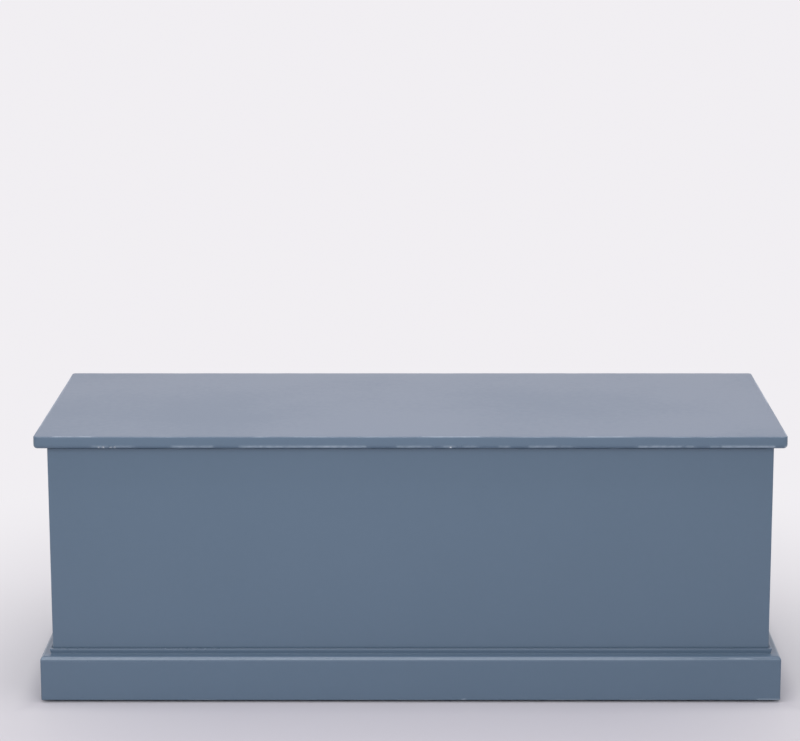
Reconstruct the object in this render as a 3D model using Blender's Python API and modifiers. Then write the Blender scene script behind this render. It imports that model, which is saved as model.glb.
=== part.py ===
"""A painted storage chest with an overhanging lift-up lid, a moulded plinth, butt hinges and slotted lid stays.

X runs along the width, -Y is the front, +Z is up. The origin is on the floor, under the middle of the whole chest.
"""

import math

import bmesh
import bpy
from mathutils import Matrix, Vector

# Overall sizes, in metres
HEIGHT = 0.481
LID_WIDTH = 1.300
LID_DEPTH = 0.500
LID_THICKNESS = 0.022
LID_OVERHANG = 0.021
PANEL_THICKNESS = 0.018

# Gaps and overruns shared by all pieces
CLEARANCE = 0.0003
CUT_OVERRUN = 0.002
MERGE_DISTANCE = 0.000001

# Edge rounding
LID_EDGE_RADIUS = 0.0035
PANEL_EDGE_RADIUS = 0.0015
RAIL_EDGE_RADIUS = 0.002

# Plinth boards: above the flat a round nose, a ledge, and a face that leans out to the lip
PLINTH_TOP = 0.094
PLINTH_THICKNESS = 0.020
NOSE_RADIUS = 0.007
UPSTAND = 0.0103
UPSTAND_FOOT_DEPTH = 0.0035
LIP_DEPTH = 0.0055

# Bottom panel and what carries it
BOTTOM_THICKNESS = 0.009
CLEAT_UNDERSIDE = 0.046
CLEAT_HEIGHT = 0.025
CLEAT_WIDTH = 0.020
BEARER_WIDTH = 0.045
BLOCK_WIDTH = 0.045
GLIDE_HEIGHT = 0.0045
GLIDE_RADIUS = 0.012
GLIDE_EDGE = 0.001
GLIDE_PIN_RADIUS = 0.002
GLIDE_PIN_LENGTH = 0.014

# Battens under the lid
BATTEN_INSET = 0.309
BATTEN_END_GAP = 0.0315
BATTEN_WIDTH = 0.045
BATTEN_THICKNESS = 0.018

# Bumpers on the front panel's top edge
BUMPER_INSET = 0.069
BUMPER_RADIUS = 0.005
BUMPER_EDGE = 0.0008

# Butt hinges
HINGE_INSET = 0.179
HINGE_LENGTH = 0.050
LEAF_WIDTH = 0.015
LEAF_THICKNESS = 0.0012
LEAF_GAP = 0.0006
KNUCKLE_RADIUS = 0.0035
KNUCKLE_GAP = 0.0004
PIN_RADIUS = 0.0016
PIN_HEAD_RADIUS = 0.0028
PIN_HEAD_HEIGHT = 0.0012
SCREW_SPACING = 0.030

# Countersunk wood screws
SCREW_RADIUS = 0.0017
SCREW_HEAD_RADIUS = 0.0030
SCREW_LENGTH = 0.014
SCREW_TIP = 0.004
SCREW_SLOT_WIDTH = 0.0007
SCREW_SLOT_DEPTH = 0.0006

# Lid stays: a slotted arm on a pivot under the lid, guided by a stud in the side panel
STAY_REACH = 0.167
STAY_PIVOT_DROP = 0.013
STAY_CLOSED_DEGREES = 25.0
LID_OPEN_DEGREES = 95.0
ARM_WIDTH = 0.016
ARM_THICKNESS = 0.0015
ARM_STAND_OFF = 0.005
ARM_END_MARGIN = 0.005
STUD_RADIUS = 0.003
STUD_COLLAR_RADIUS = 0.0055
STUD_HEAD_RADIUS = 0.006
STUD_HEAD_HEIGHT = 0.002
STUD_SHANK_RADIUS = 0.0022
STUD_COVER = 0.005
RIVET_RADIUS = 0.0025
RIVET_HEAD_RADIUS = 0.0045
RIVET_HEAD_HEIGHT = 0.0012
BRACKET_THICKNESS = 0.0015
BRACKET_LENGTH = 0.044
BRACKET_WIDTH = 0.018
BRACKET_SCREW_SPACING = 0.026
BRACKET_EAR_RADIUS = 0.009

# Facets of round pieces, and the sharpest angle that is still shaded smooth
ROUND_STEPS = 16
SCREW_STEPS = 12
ARC_STEPS = 6
EDGE_STEPS = 3
SMOOTH_DEGREES = 35.0

# Places worked out from the sizes
LID_GAP = 2 * CLEARANCE + 2 * LEAF_THICKNESS + LEAF_GAP
KNUCKLE_REACH = CLEARANCE + 2 * KNUCKLE_RADIUS
TOTAL_DEPTH = LID_DEPTH + KNUCKLE_REACH
LID_FRONT = -TOTAL_DEPTH / 2
BACK = LID_FRONT + LID_DEPTH
FRONT = LID_FRONT + LID_OVERHANG
HALF_BODY = LID_WIDTH / 2 - LID_OVERHANG
INNER_FRONT = FRONT + PANEL_THICKNESS
INNER_BACK = BACK - PANEL_THICKNESS
HALF_INNER = HALF_BODY - PANEL_THICKNESS
LID_UNDERSIDE = HEIGHT - LID_THICKNESS
RIM = LID_UNDERSIDE - LID_GAP
CLEAT_TOP = CLEAT_UNDERSIDE + CLEAT_HEIGHT
STUD_SHANK_LENGTH = PANEL_THICKNESS - STUD_COVER

HINGE_AXIS = Vector((0, BACK + CLEARANCE + KNUCKLE_RADIUS, RIM + LID_GAP / 2))
LEAF_MIDDLE = BACK - CLEARANCE - LEAF_WIDTH / 2
PIN_BORE_RADIUS = PIN_RADIUS + CLEARANCE
KNUCKLE_COUNT = 5
KNUCKLE_PITCH = (HINGE_LENGTH + KNUCKLE_GAP) / KNUCKLE_COUNT
HINGE_PLACES = (HINGE_INSET - HALF_BODY, 0, HALF_BODY - HINGE_INSET)
HINGE_NAMES = ("left", "middle", "right")

PIVOT_ANGLE = math.asin((HINGE_AXIS.z - LID_UNDERSIDE + STAY_PIVOT_DROP) / STAY_REACH)
CLOSED_ANGLE = math.radians(STAY_CLOSED_DEGREES)
OPEN_ANGLE = math.radians(STAY_CLOSED_DEGREES + LID_OPEN_DEGREES)
ARM_TILT = math.pi / 2 + PIVOT_ANGLE + CLOSED_ANGLE / 2
SLOT_START = 2 * STAY_REACH * math.sin(CLOSED_ANGLE / 2)
SLOT_END = 2 * STAY_REACH * math.sin(OPEN_ANGLE / 2)
ARM_PLANE = HALF_INNER - ARM_STAND_OFF - ARM_THICKNESS / 2
EAR_PLANE = ARM_PLANE - ARM_THICKNESS / 2 - CLEARANCE - BRACKET_THICKNESS / 2


def on_reach(angle):
    """The point at the stays' reach from the hinge axis, this far below the level of the axis."""
    return HINGE_AXIS + Vector((0, -STAY_REACH * math.cos(angle), -STAY_REACH * math.sin(angle)))


PIVOT = on_reach(PIVOT_ANGLE)
STUD = on_reach(PIVOT_ANGLE + CLOSED_ANGLE)

# Turns a plate upright: its X goes along Y, its Y up, and its thickness along X
UPRIGHT = Matrix.Rotation(math.pi / 2, 4, "Z") @ Matrix.Rotation(math.pi / 2, 4, "X")


# Scene helpers

def clear_scene():
    for obj in list(bpy.data.objects):
        bpy.data.objects.remove(obj, do_unlink=True)


def new_collection(name):
    collection = bpy.data.collections.new(name)
    bpy.context.scene.collection.children.link(collection)
    return collection


def principled(name, colour, roughness, metallic=0.0):
    material = bpy.data.materials.new(name)
    material.use_nodes = True
    shader = material.node_tree.nodes["Principled BSDF"]
    shader.inputs["Base Color"].default_value = (*colour, 1)
    shader.inputs["Roughness"].default_value = roughness
    shader.inputs["Metallic"].default_value = metallic
    return material


def add_empty(name, place, parent=None):
    """An empty at a world place. Empties carry no rotation, so a child's location is a difference of places."""
    empty = bpy.data.objects.new(name, None)
    PARTS.objects.link(empty)
    attach(empty, parent, place)
    return empty


def world_place(obj):
    place = Vector((0, 0, 0))
    while obj:
        place += obj.location
        obj = obj.parent
    return place


def attach(obj, parent, place):
    obj.parent = parent
    obj.location = Vector(place) - world_place(parent)


def add_part(name, mesh, material, parent, place, rotation=(0, 0, 0)):
    obj = bpy.data.objects.new(name, mesh)
    PARTS.objects.link(obj)
    attach(obj, parent, place)
    obj.rotation_euler = rotation
    if not mesh.materials:
        mesh.materials.append(material)
    return obj


def add_cutter(name, mesh):
    obj = bpy.data.objects.new(name, mesh)
    CUTTERS.objects.link(obj)
    obj.hide_render = True
    obj.display_type = "WIRE"
    return obj


def add_boolean(obj, other, operation="DIFFERENCE"):
    modifier = obj.modifiers.new(other.name, "BOOLEAN")
    modifier.operation = operation
    modifier.object = other


# Shape helpers

def box_bmesh(size):
    shape = bmesh.new()
    bmesh.ops.create_cube(shape, size=1)
    bmesh.ops.scale(shape, vec=size, verts=shape.verts)
    return shape


def as_mesh(shape, name):
    mesh = bpy.data.meshes.new(name)
    shape.to_mesh(mesh)
    shape.free()
    return mesh


def board_mesh(name, size, radius=0, faces=()):
    """A board centred on its origin, rounded along every edge of the faces whose outward directions are given."""
    shape = box_bmesh(size)
    wanted = [Vector(direction) for direction in faces]
    edges = [
        edge
        for edge in shape.edges
        if any(face.normal.dot(direction) > 0.5 for face in edge.link_faces for direction in wanted)
    ]
    if radius:
        bmesh.ops.bevel(
            shape, geom=edges, offset=radius, segments=EDGE_STEPS, profile=0.5, affect="EDGES"
        )
    return smoothed(as_mesh(shape, name))


def add_board(name, low, high, material, parent, radius=0, faces=()):
    low = Vector(low)
    high = Vector(high)
    mesh = board_mesh(name, high - low, radius, faces)
    return add_part(name, mesh, material, parent, (low + high) / 2)


def rod_bmesh(radius, length, steps):
    """A cylinder along Z, centred on the origin."""
    shape = bmesh.new()
    bmesh.ops.create_cone(
        shape, cap_ends=True, segments=steps, radius1=radius, radius2=radius, depth=length
    )
    return shape


def smoothed(mesh):
    mesh.shade_smooth()
    mesh.set_sharp_from_angle(angle=math.radians(SMOOTH_DEGREES))
    return mesh


def copies_mesh(name, mesh, matrices):
    """One mesh that holds a copy of another at each matrix."""
    shape = bmesh.new()
    for matrix in matrices:
        copy = mesh.copy()
        copy.transform(matrix)
        shape.from_mesh(copy)
        bpy.data.meshes.remove(copy)
    return as_mesh(shape, name)


def evaluated_mesh(obj, name):
    bpy.context.view_layer.update()
    graph = bpy.context.evaluated_depsgraph_get()
    mesh = bpy.data.meshes.new_from_object(obj.evaluated_get(graph))
    mesh.name = name
    return mesh


def turned_mesh(name, profile, steps):
    """A solid of revolution about Z. The profile holds (radius, height) pairs from top to bottom."""
    shape = bmesh.new()
    points = [shape.verts.new((radius, 0, height)) for radius, height in profile]
    for first, second in zip(points, points[1:]):
        shape.edges.new((first, second))
    obj = bpy.data.objects.new(name, as_mesh(shape, name + "_profile"))
    PARTS.objects.link(obj)
    screw = obj.modifiers.new("Screw", "SCREW")
    screw.steps = steps
    screw.render_steps = steps
    screw.use_merge_vertices = True
    screw.merge_threshold = MERGE_DISTANCE
    mesh = evaluated_mesh(obj, name)
    bpy.data.objects.remove(obj)
    return smoothed(mesh)


def outline_mesh(name, outlines, thickness):
    """A plate of this thickness, centred on its own XY plane. The first outline is its edge, the others are holes."""
    curve = bpy.data.curves.new(name, "CURVE")
    curve.dimensions = "2D"
    curve.fill_mode = "BOTH"
    curve.extrude = thickness / 2
    for outline in outlines:
        spline = curve.splines.new("POLY")
        spline.points.add(len(outline) - 1)
        for point, (x, y) in zip(spline.points, outline):
            point.co = (x, y, 0, 1)
        spline.use_cyclic_u = True
    obj = bpy.data.objects.new(name + "_outline", curve)
    PARTS.objects.link(obj)
    mesh = evaluated_mesh(obj, name)
    bpy.data.objects.remove(obj)
    shape = bmesh.new()
    shape.from_mesh(mesh)
    bmesh.ops.remove_doubles(shape, verts=shape.verts, dist=MERGE_DISTANCE)
    bmesh.ops.recalc_face_normals(shape, faces=shape.faces)
    shape.to_mesh(mesh)
    shape.free()
    return smoothed(mesh)


def arc(centre, radius, start_degrees, end_degrees, steps):
    """Points along an arc, both ends included, counter-clockwise where the end is the larger angle."""
    points = []
    for step in range(steps + 1):
        angle = math.radians(start_degrees + (end_degrees - start_degrees) * step / steps)
        points.append((centre[0] + radius * math.cos(angle), centre[1] + radius * math.sin(angle)))
    return points


def circle(centre, radius, steps):
    return arc(centre, radius, 0, 360, steps)[:-1]


def slot_outline(start, end, radius):
    """A slot along X from start to end, measured between the centres of its round ends."""
    return arc((start, 0), radius, 90, 270, ROUND_STEPS // 2) + arc((end, 0), radius, -90, 90, ROUND_STEPS // 2)


def union_into(obj, shapes):
    """Joins closed shapes, each a mesh in the object's own space, to it by Boolean unions."""
    for number, mesh in enumerate(shapes):
        add_boolean(obj, add_cutter(f"{obj.name}_joined_{number}", mesh), "UNION")


def drill(obj, name, places, radius, depth, direction):
    """Round holes whose mouths are at world places and which run this deep along a direction."""
    direction = Vector(direction)
    turn = direction.to_track_quat("Z", "Y").to_matrix().to_4x4()
    middle = direction * (depth - CUT_OVERRUN) / 2
    hole = as_mesh(rod_bmesh(radius, depth + CUT_OVERRUN, SCREW_STEPS), name + "_single")
    matrices = [Matrix.Translation(Vector(place) + middle) @ turn for place in places]
    add_boolean(obj, add_cutter(name, copies_mesh(name, hole, matrices)))


# Turned hardware

def screw_mesh():
    """A countersunk wood screw along Z, its head's flat face at the origin and its point below."""
    profile = (
        (0, 0),
        (SCREW_HEAD_RADIUS, 0),
        (SCREW_RADIUS, -LEAF_THICKNESS),
        (SCREW_RADIUS, SCREW_TIP - SCREW_LENGTH),
        (0, -SCREW_LENGTH),
    )
    body = bpy.data.objects.new("screw_body", turned_mesh("screw_turned", profile, SCREW_STEPS))
    PARTS.objects.link(body)
    slot = box_bmesh((2 * SCREW_HEAD_RADIUS + CUT_OVERRUN, SCREW_SLOT_WIDTH, 2 * SCREW_SLOT_DEPTH))
    cutter = add_cutter("screw_slot", as_mesh(slot, "screw_slot"))
    add_boolean(body, cutter)
    mesh = evaluated_mesh(body, "wood_screw")
    bpy.data.objects.remove(body)
    bpy.data.objects.remove(cutter)
    return mesh


def countersink_mesh(name):
    """A cutter along Z for one screw through a plate of leaf thickness whose outer face is at the origin."""
    head = SCREW_HEAD_RADIUS + CLEARANCE
    shank = SCREW_RADIUS + CLEARANCE
    profile = (
        (0, CUT_OVERRUN),
        (head, CUT_OVERRUN),
        (head, 0),
        (shank, -LEAF_THICKNESS),
        (shank, -BRACKET_THICKNESS - CUT_OVERRUN),
        (0, -BRACKET_THICKNESS - CUT_OVERRUN),
    )
    return turned_mesh(name, profile, SCREW_STEPS)


def countersink(obj, name, places, upward):
    """Countersunk holes at places in the object's own space, opening upwards or downwards."""
    turn = Matrix.Identity(4) if upward else Matrix.Rotation(math.pi, 4, "X")
    matrices = [Matrix.Translation(place) @ turn for place in places]
    holes = copies_mesh(name, countersink_mesh(name + "_single"), matrices)
    add_boolean(obj, add_cutter(name, holes))


def glide_mesh():
    """A nail-on glide: a low disc with rounded edges, and its pin."""
    top = GLIDE_HEIGHT - CLEARANCE
    profile = (
        (0, top + GLIDE_PIN_LENGTH),
        (GLIDE_PIN_RADIUS / 2, top + GLIDE_PIN_LENGTH),
        (GLIDE_PIN_RADIUS, top + GLIDE_PIN_LENGTH - GLIDE_PIN_RADIUS),
        (GLIDE_PIN_RADIUS, top),
        (GLIDE_RADIUS - GLIDE_EDGE, top),
        (GLIDE_RADIUS, top - GLIDE_EDGE),
        (GLIDE_RADIUS, GLIDE_EDGE),
        (GLIDE_RADIUS - GLIDE_EDGE, 0),
        (0, 0),
    )
    return turned_mesh("glide", profile, ROUND_STEPS)


def bumper_mesh():
    height = LID_GAP - 2 * CLEARANCE
    profile = (
        (0, height),
        (BUMPER_RADIUS - BUMPER_EDGE, height),
        (BUMPER_RADIUS, height - BUMPER_EDGE),
        (BUMPER_RADIUS, 0),
        (0, 0),
    )
    return turned_mesh("bumper", profile, ROUND_STEPS)


def pin_mesh():
    """A hinge pin along Z with a small domed head at each end."""
    end = HINGE_LENGTH / 2 + CLEARANCE
    cap = end + PIN_HEAD_HEIGHT
    upper = (
        (0, cap),
        (PIN_HEAD_RADIUS - PIN_HEAD_HEIGHT / 2, cap),
        (PIN_HEAD_RADIUS, cap - PIN_HEAD_HEIGHT / 2),
        (PIN_HEAD_RADIUS, end),
        (PIN_RADIUS, end),
    )
    lower = tuple((radius, -height) for radius, height in reversed(upper))
    return turned_mesh("hinge_pin", upper + lower, ROUND_STEPS)


def stud_mesh():
    """A shoulder stud along Z: head, neck for the slot, collar against the panel, and shank. Z is 0 at the panel."""
    neck_top = ARM_STAND_OFF + ARM_THICKNESS + CLEARANCE
    collar_top = ARM_STAND_OFF - CLEARANCE
    cap = neck_top + STUD_HEAD_HEIGHT
    profile = (
        (0, cap),
        (STUD_HEAD_RADIUS - STUD_HEAD_HEIGHT / 2, cap),
        (STUD_HEAD_RADIUS, cap - STUD_HEAD_HEIGHT / 2),
        (STUD_HEAD_RADIUS, neck_top),
        (STUD_RADIUS, neck_top),
        (STUD_RADIUS, collar_top),
        (STUD_COLLAR_RADIUS, collar_top),
        (STUD_COLLAR_RADIUS, CLEARANCE),
        (STUD_SHANK_RADIUS, CLEARANCE),
        (STUD_SHANK_RADIUS, STUD_SHANK_RADIUS - STUD_SHANK_LENGTH),
        (0, -STUD_SHANK_LENGTH),
    )
    return turned_mesh("stay_stud", profile, ROUND_STEPS)


def rivet_mesh():
    """The rivet through a stay's arm and its bracket's ear, along Z, centred between its two heads."""
    end = (ARM_THICKNESS + BRACKET_THICKNESS) / 2 + 1.5 * CLEARANCE
    cap = end + RIVET_HEAD_HEIGHT
    upper = (
        (0, cap),
        (RIVET_HEAD_RADIUS - RIVET_HEAD_HEIGHT / 2, cap),
        (RIVET_HEAD_RADIUS, cap - RIVET_HEAD_HEIGHT / 2),
        (RIVET_HEAD_RADIUS, end),
        (RIVET_RADIUS, end),
    )
    lower = tuple((radius, -height) for radius, height in reversed(upper))
    return turned_mesh("stay_rivet", upper + lower, ROUND_STEPS)


# Carcass

def add_panels():
    """The four walls: front and back over the full width, the sides between them."""
    bottom = GLIDE_HEIGHT
    front = add_board(
        "front_panel", (-HALF_BODY, FRONT, bottom), (HALF_BODY, INNER_FRONT, RIM),
        PAINT, CARCASS, PANEL_EDGE_RADIUS, ((0, -1, 0), (0, 0, 1)),
    )
    back = add_board(
        "back_panel", (-HALF_BODY, INNER_BACK, bottom), (HALF_BODY, BACK, RIM),
        PAINT, CARCASS, PANEL_EDGE_RADIUS, ((0, 1, 0), (0, 0, 1)),
    )
    sides = {}
    for name, hand in HANDS:
        inner = hand * HALF_INNER
        outer = hand * HALF_BODY
        sides[name] = add_board(
            f"{name}_side_panel",
            (min(inner, outer), INNER_FRONT + CLEARANCE, bottom),
            (max(inner, outer), INNER_BACK - CLEARANCE, RIM),
            PAINT, CARCASS, PANEL_EDGE_RADIUS, ((0, 0, 1),),
        )
    return front, back, sides


def add_bottom():
    """The bottom panel, on cleats along the walls and a bearer across the middle."""
    add_board(
        "bottom_panel",
        (-HALF_INNER + CLEARANCE, INNER_FRONT + CLEARANCE, CLEAT_TOP + CLEARANCE),
        (HALF_INNER - CLEARANCE, INNER_BACK - CLEARANCE, CLEAT_TOP + CLEARANCE + BOTTOM_THICKNESS),
        PLYWOOD, CARCASS,
    )
    half_length = HALF_INNER - CLEARANCE
    rows = (
        ("front", INNER_FRONT + CLEARANCE, INNER_FRONT + CLEARANCE + CLEAT_WIDTH),
        ("back", INNER_BACK - CLEARANCE - CLEAT_WIDTH, INNER_BACK - CLEARANCE),
    )
    for name, near, far in rows:
        add_board(
            f"{name}_cleat", (-half_length, near, CLEAT_UNDERSIDE), (half_length, far, CLEAT_TOP),
            BARE_WOOD, CARCASS,
        )
    near = INNER_FRONT + 2 * CLEARANCE + CLEAT_WIDTH
    far = INNER_BACK - 2 * CLEARANCE - CLEAT_WIDTH
    for name, hand in HANDS:
        inner = hand * (half_length - CLEAT_WIDTH)
        outer = hand * half_length
        add_board(
            f"{name}_cleat",
            (min(inner, outer), near, CLEAT_UNDERSIDE), (max(inner, outer), far, CLEAT_TOP),
            BARE_WOOD, CARCASS,
        )
    add_board(
        "middle_bearer",
        (-BEARER_WIDTH / 2, near, CLEAT_UNDERSIDE), (BEARER_WIDTH / 2, far, CLEAT_TOP),
        BARE_WOOD, CARCASS,
    )


def add_feet():
    """A block glued into each bottom corner, with a glide nailed under it."""
    glide = glide_mesh()
    middle = BLOCK_WIDTH / 2 + CLEARANCE
    rows = (("front", INNER_FRONT + middle), ("back", INNER_BACK - middle))
    for row, y in rows:
        for name, hand in HANDS:
            x = hand * (HALF_INNER - middle)
            half = BLOCK_WIDTH / 2
            block = add_board(
                f"{row}_{name}_block",
                (x - half, y - half, GLIDE_HEIGHT), (x + half, y + half, CLEAT_UNDERSIDE - CLEARANCE),
                BARE_WOOD, CARCASS,
            )
            drill(
                block, f"{row}_{name}_glide_hole", [(x, y, GLIDE_HEIGHT)],
                GLIDE_PIN_RADIUS + CLEARANCE, GLIDE_PIN_LENGTH + CLEARANCE, (0, 0, 1),
            )
            add_part(f"{row}_{name}_glide", glide, NYLON, CARCASS, (x, y, 0))


def plinth_outline():
    """The plinth's section: X outwards from the wall, Y up from the floor."""
    nose = PLINTH_THICKNESS - NOSE_RADIUS
    ledge = PLINTH_TOP - UPSTAND
    return (
        [(CLEARANCE, GLIDE_HEIGHT), (PLINTH_THICKNESS, GLIDE_HEIGHT)]
        + arc((nose, ledge - NOSE_RADIUS), NOSE_RADIUS, 0, 90, ARC_STEPS)
        + [(UPSTAND_FOOT_DEPTH, ledge), (LIP_DEPTH, PLINTH_TOP), (CLEARANCE, PLINTH_TOP)]
    )


def cut_mitre(board, corner, away):
    """Cuts a board along the vertical plane through a corner, on the side that a direction in the XY plane points to."""
    span = 4 * (PLINTH_THICKNESS + CUT_OVERRUN)
    away = Vector(away).normalized()
    block = box_bmesh((span, span, 2 * PLINTH_TOP + CUT_OVERRUN))
    turn = Matrix.Rotation(math.atan2(away.y, away.x), 4, "Z")
    middle = Vector((*corner, PLINTH_TOP / 2)) + away * (span - CLEARANCE) / 2
    bmesh.ops.transform(block, matrix=Matrix.Translation(middle) @ turn, verts=block.verts)
    name = f"{board.name}_mitre_{len(board.modifiers)}"
    add_boolean(board, add_cutter(name, as_mesh(block, name)))


def add_plinth():
    """Three moulded boards round the front and sides, mitred at the front corners."""
    outline = plinth_outline()
    reach = PLINTH_THICKNESS + CUT_OVERRUN
    width = 2 * (HALF_BODY + reach)
    front = add_part(
        "front_plinth", outline_mesh("front_plinth", [outline], width), PAINT, CARCASS,
        (0, FRONT, 0), (math.pi / 2, 0, -math.pi / 2),
    )
    depth = BACK - FRONT + reach
    for name, hand in HANDS:
        section = outline if hand > 0 else [(-x, y) for x, y in reversed(outline)]
        side = add_part(
            f"{name}_plinth", outline_mesh(f"{name}_plinth", [section], depth), PAINT, CARCASS,
            (hand * HALF_BODY, BACK - depth / 2, 0), (math.pi / 2, 0, 0),
        )
        corner = (hand * HALF_BODY, FRONT)
        cut_mitre(front, corner, (hand, 1, 0))
        cut_mitre(side, corner, (-hand, -1, 0))


def add_bumpers():
    mesh = bumper_mesh()
    y = (FRONT + INNER_FRONT) / 2
    for name, hand in HANDS:
        x = hand * (HALF_BODY - BUMPER_INSET)
        add_part(f"{name}_bumper", mesh, RUBBER, CARCASS, (x, y, RIM + CLEARANCE))


# Hinges

def knuckle_spans(lid_leaf):
    """The X spans of one leaf's knuckles: the lid leaf has the second and fourth of five."""
    spans = []
    for number in range(KNUCKLE_COUNT):
        if (number % 2 == 1) == lid_leaf:
            start = -HINGE_LENGTH / 2 + number * KNUCKLE_PITCH
            spans.append((start, start + KNUCKLE_PITCH - KNUCKLE_GAP))
    return spans


def leaf_outline(lid_leaf):
    """A leaf seen from above, with a tongue into each of its knuckles. Y is 0 on the hinge axis."""
    plate_back = -KNUCKLE_RADIUS - 2 * CLEARANCE
    plate_front = plate_back - LEAF_WIDTH
    tongue = -(PIN_BORE_RADIUS + KNUCKLE_RADIUS) / 2
    half = HINGE_LENGTH / 2
    points = [(half, plate_back), (half, plate_front), (-half, plate_front), (-half, plate_back)]
    for start, end in knuckle_spans(lid_leaf):
        points += [(start, plate_back), (start, tongue), (end, tongue), (end, plate_back)]
    return without_repeats(points)


def without_repeats(points):
    kept = []
    for point in points:
        if all(math.dist(point, other) > MERGE_DISTANCE for other in kept):
            kept.append(point)
    return kept


def leaf_mesh(lid_leaf):
    """One leaf about its hinge axis at the origin, plate and knuckles in one piece."""
    name = "lid_leaf" if lid_leaf else "fixed_leaf"
    side = 1 if lid_leaf else -1
    plate = outline_mesh(name, [leaf_outline(lid_leaf)], LEAF_THICKNESS)
    plate.transform(Matrix.Translation((0, 0, side * (LEAF_GAP + LEAF_THICKNESS) / 2)))
    leaf = bpy.data.objects.new(name + "_blank", plate)
    PARTS.objects.link(leaf)
    shapes = []
    for start, end in knuckle_spans(lid_leaf):
        knuckle = rod_bmesh(KNUCKLE_RADIUS, end - start, ROUND_STEPS)
        place = Matrix.Translation(((start + end) / 2, 0, 0)) @ Matrix.Rotation(math.pi / 2, 4, "Y")
        bmesh.ops.transform(knuckle, matrix=place, verts=knuckle.verts)
        shapes.append(as_mesh(knuckle, "knuckle"))
    union_into(leaf, shapes)
    bore = rod_bmesh(PIN_BORE_RADIUS, HINGE_LENGTH + 2 * CUT_OVERRUN, ROUND_STEPS)
    bmesh.ops.transform(bore, matrix=Matrix.Rotation(math.pi / 2, 4, "Y"), verts=bore.verts)
    add_boolean(leaf, add_cutter(name + "_bore", as_mesh(bore, "bore")))
    face = -side * LEAF_GAP / 2
    y = LEAF_MIDDLE - HINGE_AXIS.y
    places = [(x, y, -face) for x in (-SCREW_SPACING / 2, SCREW_SPACING / 2)]
    countersink(leaf, name + "_countersinks", places, upward=not lid_leaf)
    mesh = evaluated_mesh(leaf, name)
    remove_with_cutters(leaf)
    return smoothed(mesh)


def remove_with_cutters(obj):
    for modifier in list(obj.modifiers):
        bpy.data.objects.remove(modifier.object)
    bpy.data.objects.remove(obj)


def hinge_screw_places(x, z):
    return [(x + shift, LEAF_MIDDLE, z) for shift in (-SCREW_SPACING / 2, SCREW_SPACING / 2)]


def add_hinges(back_panel, lid_panel):
    """Three butt hinges between the back panel's top edge and the lid, with two screws in each leaf."""
    fixed = leaf_mesh(lid_leaf=False)
    moving = leaf_mesh(lid_leaf=True)
    pin = pin_mesh()
    screw = screw_mesh()
    face = LEAF_GAP / 2
    hole_depth = SCREW_LENGTH - LEAF_THICKNESS
    lower_mouths = []
    upper_mouths = []
    for name, x in zip(HINGE_NAMES, HINGE_PLACES):
        place = HINGE_AXIS + Vector((x, 0, 0))
        add_part(f"{name}_hinge_fixed_leaf", fixed, STEEL, CARCASS, place)
        add_part(f"{name}_hinge_lid_leaf", moving, STEEL, LID, place)
        add_part(f"{name}_hinge_pin", pin, STEEL, CARCASS, place, (0, math.pi / 2, 0))
        for number, spot in enumerate(hinge_screw_places(x, HINGE_AXIS.z - face), 1):
            add_part(f"{name}_hinge_fixed_screw_{number}", screw, STEEL, CARCASS, spot)
        for number, spot in enumerate(hinge_screw_places(x, HINGE_AXIS.z + face), 1):
            add_part(f"{name}_hinge_lid_screw_{number}", screw, STEEL, LID, spot, (math.pi, 0, 0))
        lower_mouths += hinge_screw_places(x, RIM)
        upper_mouths += hinge_screw_places(x, LID_UNDERSIDE)
    radius = SCREW_RADIUS + CLEARANCE
    drill(back_panel, "back_panel_screw_holes", lower_mouths, radius, hole_depth, (0, 0, -1))
    drill(lid_panel, "lid_hinge_screw_holes", upper_mouths, radius, hole_depth, (0, 0, 1))
    return screw


# Lid

def add_lid():
    """The lid panel, rounded all over, with two battens under it."""
    half = LID_WIDTH / 2
    lid = add_board(
        "lid_panel", (-half, LID_FRONT, LID_UNDERSIDE), (half, BACK, HEIGHT),
        PAINT, LID, LID_EDGE_RADIUS, ((0, 0, 1), (0, 0, -1), (1, 0, 0), (-1, 0, 0)),
    )
    near = INNER_FRONT + BATTEN_END_GAP
    far = INNER_BACK - BATTEN_END_GAP
    top = LID_UNDERSIDE - CLEARANCE
    for name, hand in HANDS:
        x = hand * (HALF_BODY - BATTEN_INSET)
        add_board(
            f"{name}_batten",
            (x - BATTEN_WIDTH / 2, near, top - BATTEN_THICKNESS), (x + BATTEN_WIDTH / 2, far, top),
            PAINT, LID, RAIL_EDGE_RADIUS, ((0, 0, -1),),
        )
    return lid


# Lid stays

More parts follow.
